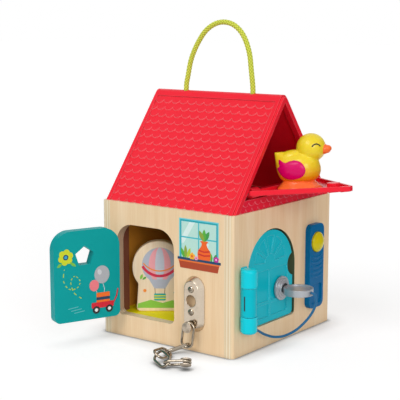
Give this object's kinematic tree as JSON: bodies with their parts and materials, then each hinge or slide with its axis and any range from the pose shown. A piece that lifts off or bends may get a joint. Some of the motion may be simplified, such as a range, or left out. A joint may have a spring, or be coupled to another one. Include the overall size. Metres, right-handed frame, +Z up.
{
  "type": "lock activity house",
  "caption": "Wooden toy house with hinged doors, chain lock, key lock, push bell, opening attic flap, rope handle and loose toy pieces.",
  "frame": {"origin": "centre of the house's flat underside", "axes": "+Z up, -Y out of the front with the wooden door, +X out of the gable with the key lock"},
  "size_m": [0.223, 0.2271, 0.2887],
  "materials": {
    "ply": "clear-coated birch plywood",
    "teal_paint": "satin paint on plywood",
    "yellow_paint": "satin paint on plywood",
    "red_plastic": "smooth moulded plastic",
    "turquoise_plastic": "smooth moulded plastic",
    "hinge_plastic": "smooth moulded plastic",
    "blue_plastic": "smooth moulded plastic",
    "yellow_plastic": "smooth moulded plastic",
    "silver_plastic": "silver-coloured plastic",
    "nickel": "bright nickel plate",
    "steel": "plain steel",
    "rope": "braided rope",
    "cord": "braided cord",
    "duck_yellow": "soft satin plastic",
    "duck_magenta": "soft satin plastic",
    "duck_orange": "soft satin plastic"
  },
  "bodies": {
    "house": {"base_board": "ply", "floor_board": "yellow_paint", "ceiling_board": "ply", "corner_posts": "ply", "front_wall": "ply", "rear_wall": "ply", "left_gable_wall": "ply", "right_gable_wall": "ply", "roof_shell": "red_plastic", "front_roof_panel": "red_plastic", "rear_roof_panel": "red_plastic", "gable_trim": "red_plastic", "flap_pin": "steel", "rope_handle": "rope", "rope_knots": "rope", "hinge_wall_leaves": "nickel", "hinge_pins": "nickel", "hinge_wall_screws": "nickel", "chain_plate": "nickel", "chain_rivet": "nickel", "chain_plate_screws": "nickel", "gable_hinge_bracket": "hinge_plastic", "gable_hinge_pin": "steel", "bell_panel": "blue_plastic", "bell_spring": "steel", "key_cord": "cord"},
    "front_door": {"front_door": "teal_paint", "hinge_door_leaves": "nickel", "hinge_door_screws": "nickel", "door_track": "nickel", "track_screws": "nickel"},
    "gable_door": {"gable_door": "turquoise_plastic", "lock_ring": "silver_plastic"},
    "key_lock": {"lock_core": "silver_plastic", "lock_cam": "steel", "key": "silver_plastic"},
    "bell_button": {"bell_button": "yellow_plastic"},
    "attic_flap": {"attic_flap": "red_plastic"},
    "duck": {"duck_body": "duck_yellow", "duck_wings": "duck_magenta", "duck_beak": "duck_orange", "duck_foot_base": "duck_orange"},
    "figure_board": {"figure_board": "ply"},
    "chain_link_1": {"chain_link_1": "nickel"},
    "chain_link_2": {"chain_link_2": "nickel"},
    "chain_link_3": {"chain_link_3": "nickel"},
    "chain_link_4": {"chain_link_4": "nickel"},
    "chain_link_5": {"chain_link_5": "nickel", "chain_stud": "nickel"}
  },
  "joints": [
    {"name": "front_door_hinge", "type": "hinge", "parent": "house", "child": "front_door", "pos_m": [-0.057, -0.082, 0.06], "axis": [0, 0, -1], "range_deg": [-112, 55]},
    {"name": "gable_door_hinge", "type": "hinge", "parent": "house", "child": "gable_door", "pos_m": [0.0822, -0.0675, 0.05], "axis": [0, 0, -1], "range_deg": [0, 105], "deforming": ["key_cord"]},
    {"name": "key_turn", "type": "hinge", "parent": "gable_door", "child": "key_lock", "pos_m": [0.0725, -0.0033, 0.0483], "axis": [-1, 0, 0], "range_deg": [0, 90], "deforming": ["key_cord"]},
    {"name": "bell_push", "type": "slide", "parent": "house", "child": "bell_button", "axis": [-1, 0, 0], "range_m": [0, 0.003], "stiffness_N_per_m": 300, "springref_m": -0.001, "deforming": ["bell_spring"]},
    {"name": "attic_flap_hinge", "type": "hinge", "parent": "house", "child": "attic_flap", "pos_m": [0.0705, 0, 0.1408], "axis": [0, -1, 0], "range_deg": [0, 86.5]},
    {"name": "duck_lift", "type": "slide", "parent": "attic_flap", "child": "duck", "axis": [0.0995, 0, 0.995], "range_m": [0, 0.08]},
    {"name": "figure_lift", "type": "slide", "parent": "house", "child": "figure_board", "axis": [0, 0, 1], "range_m": [0, 0.025]},
    {"name": "chain_swing_1", "type": "hinge", "parent": "house", "child": "chain_link_1", "pos_m": [0.0335, -0.0888, 0.0242], "axis": [0, 1, 0], "range_deg": [-35, 35]},
    {"name": "chain_swing_2", "type": "hinge", "parent": "chain_link_1", "child": "chain_link_2", "pos_m": [0.03063, -0.0888, 0.0056], "axis": [-0.9686, -0.2079, 0.1361], "range_deg": [-30, 30]},
    {"name": "chain_swing_3", "type": "hinge", "parent": "chain_link_2", "child": "chain_link_3", "pos_m": [0.0217, -0.10682, 0.00345], "axis": [0.7283, -0.4782, 0.4908], "range_deg": [-35, 30]},
    {"name": "chain_swing_4", "type": "hinge", "parent": "chain_link_3", "child": "chain_link_4", "pos_m": [0.02709, -0.12512, 0.00666], "axis": [0.8342, 0.1148, -0.5393], "range_deg": [-35, 35]},
    {"name": "chain_swing_5", "type": "hinge", "parent": "chain_link_4", "child": "chain_link_5", "pos_m": [0.04495, -0.13268, 0.00426], "axis": [0.3955, 0.6193, 0.6783], "range_deg": [-35, 35]}
  ]
}
